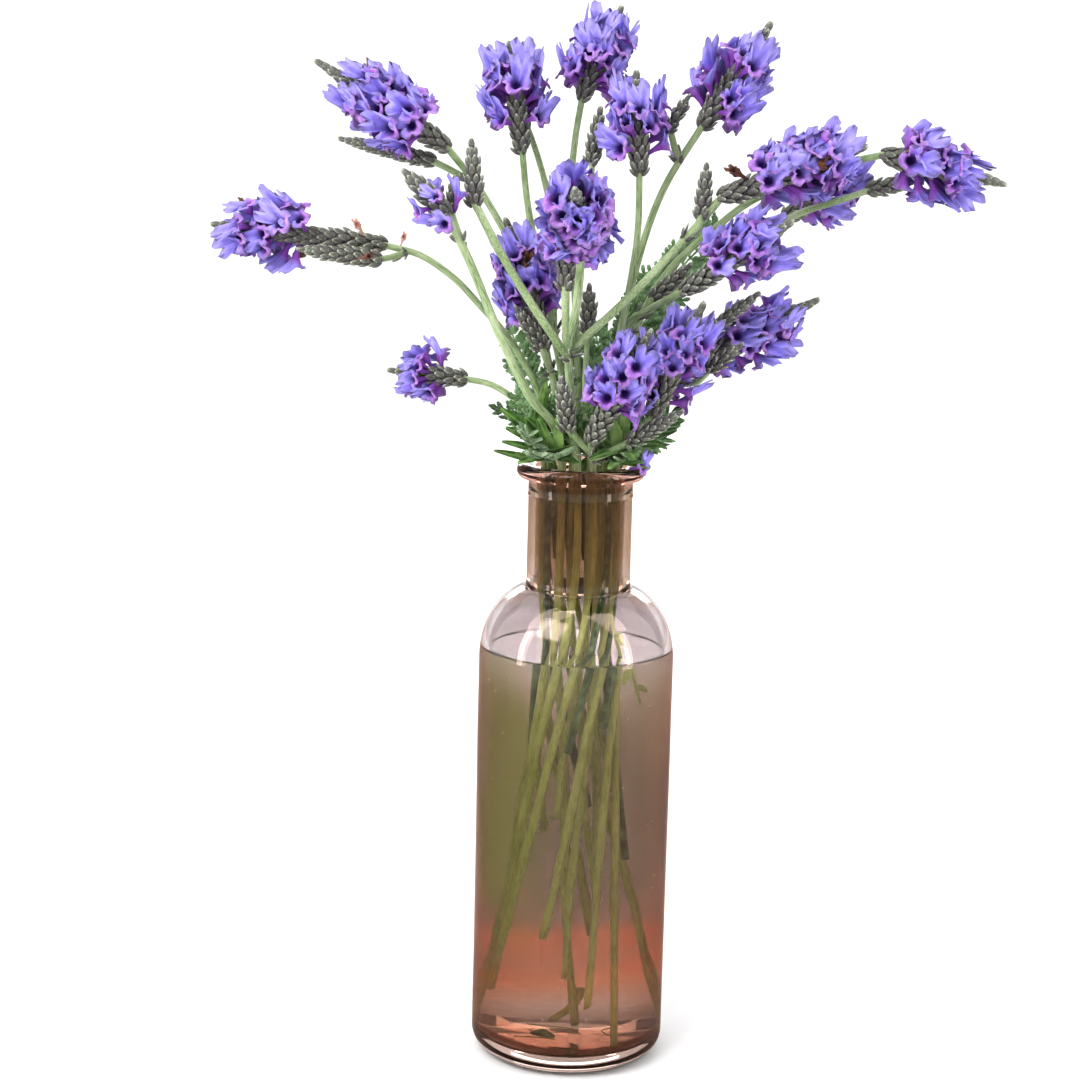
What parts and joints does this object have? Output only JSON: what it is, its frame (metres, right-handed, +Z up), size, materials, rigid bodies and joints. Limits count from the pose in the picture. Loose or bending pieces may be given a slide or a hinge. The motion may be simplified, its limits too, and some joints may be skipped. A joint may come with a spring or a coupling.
{
  "type": "lavender in vase",
  "caption": "Bunch of fern-leaved lavender with violet heads, grey-green spikes and cut leaves, standing in water in a tall round-shouldered tinted glass bottle vase.",
  "frame": {"origin": "centre of the bottle's flat underside", "axes": "+Z up along the bottle's axis, -Y towards the viewer of the picture, +X to the viewer's right"},
  "size_m": [0.2534, 0.1224, 0.3467],
  "materials": {
    "tinted_glass": "clear rose-brown tinted glass, polished",
    "water": "clear still water",
    "sage_stem": "finely felted grey-green stem and calyx",
    "leaf_green": "soft matt leaf",
    "violet_petal": "thin matt violet petal"
  },
  "bodies": {
    "root": {"florets_centre_back": "violet_petal", "florets_centre_front": "violet_petal", "florets_centre_high": "violet_petal", "florets_centre_left": "violet_petal", "florets_centre_right": "violet_petal", "florets_far_left": "violet_petal", "florets_far_right": "violet_petal", "florets_front": "violet_petal", "florets_left_bud": "violet_petal", "florets_left_low": "violet_petal", "florets_low_right": "violet_petal", "florets_low_right_front": "violet_petal", "florets_right": "violet_petal", "florets_right_back": "violet_petal", "florets_top": "violet_petal", "florets_upper_centre": "violet_petal", "florets_upper_left": "violet_petal", "florets_upper_right": "violet_petal", "glass_bottle": "tinted_glass", "leaf_sprig_back": "leaf_green", "leaf_sprig_back_left": "leaf_green", "leaf_sprig_front_right": "leaf_green", "leaf_sprig_left": "leaf_green", "leaf_sprig_right": "leaf_green", "stem_back_bud": "sage_stem", "stem_centre": "sage_stem", "stem_centre_high": "sage_stem", "stem_centre_left": "sage_stem", "stem_far_left": "sage_stem", "stem_far_right": "sage_stem", "stem_front": "sage_stem", "stem_left_bud": "sage_stem", "stem_left_low": "sage_stem", "stem_low_right": "sage_stem", "stem_right": "sage_stem", "stem_top": "sage_stem", "stem_upper_centre": "sage_stem", "stem_upper_left": "sage_stem", "stem_upper_right": "sage_stem", "water": "water"}
  },
  "joints": []
}
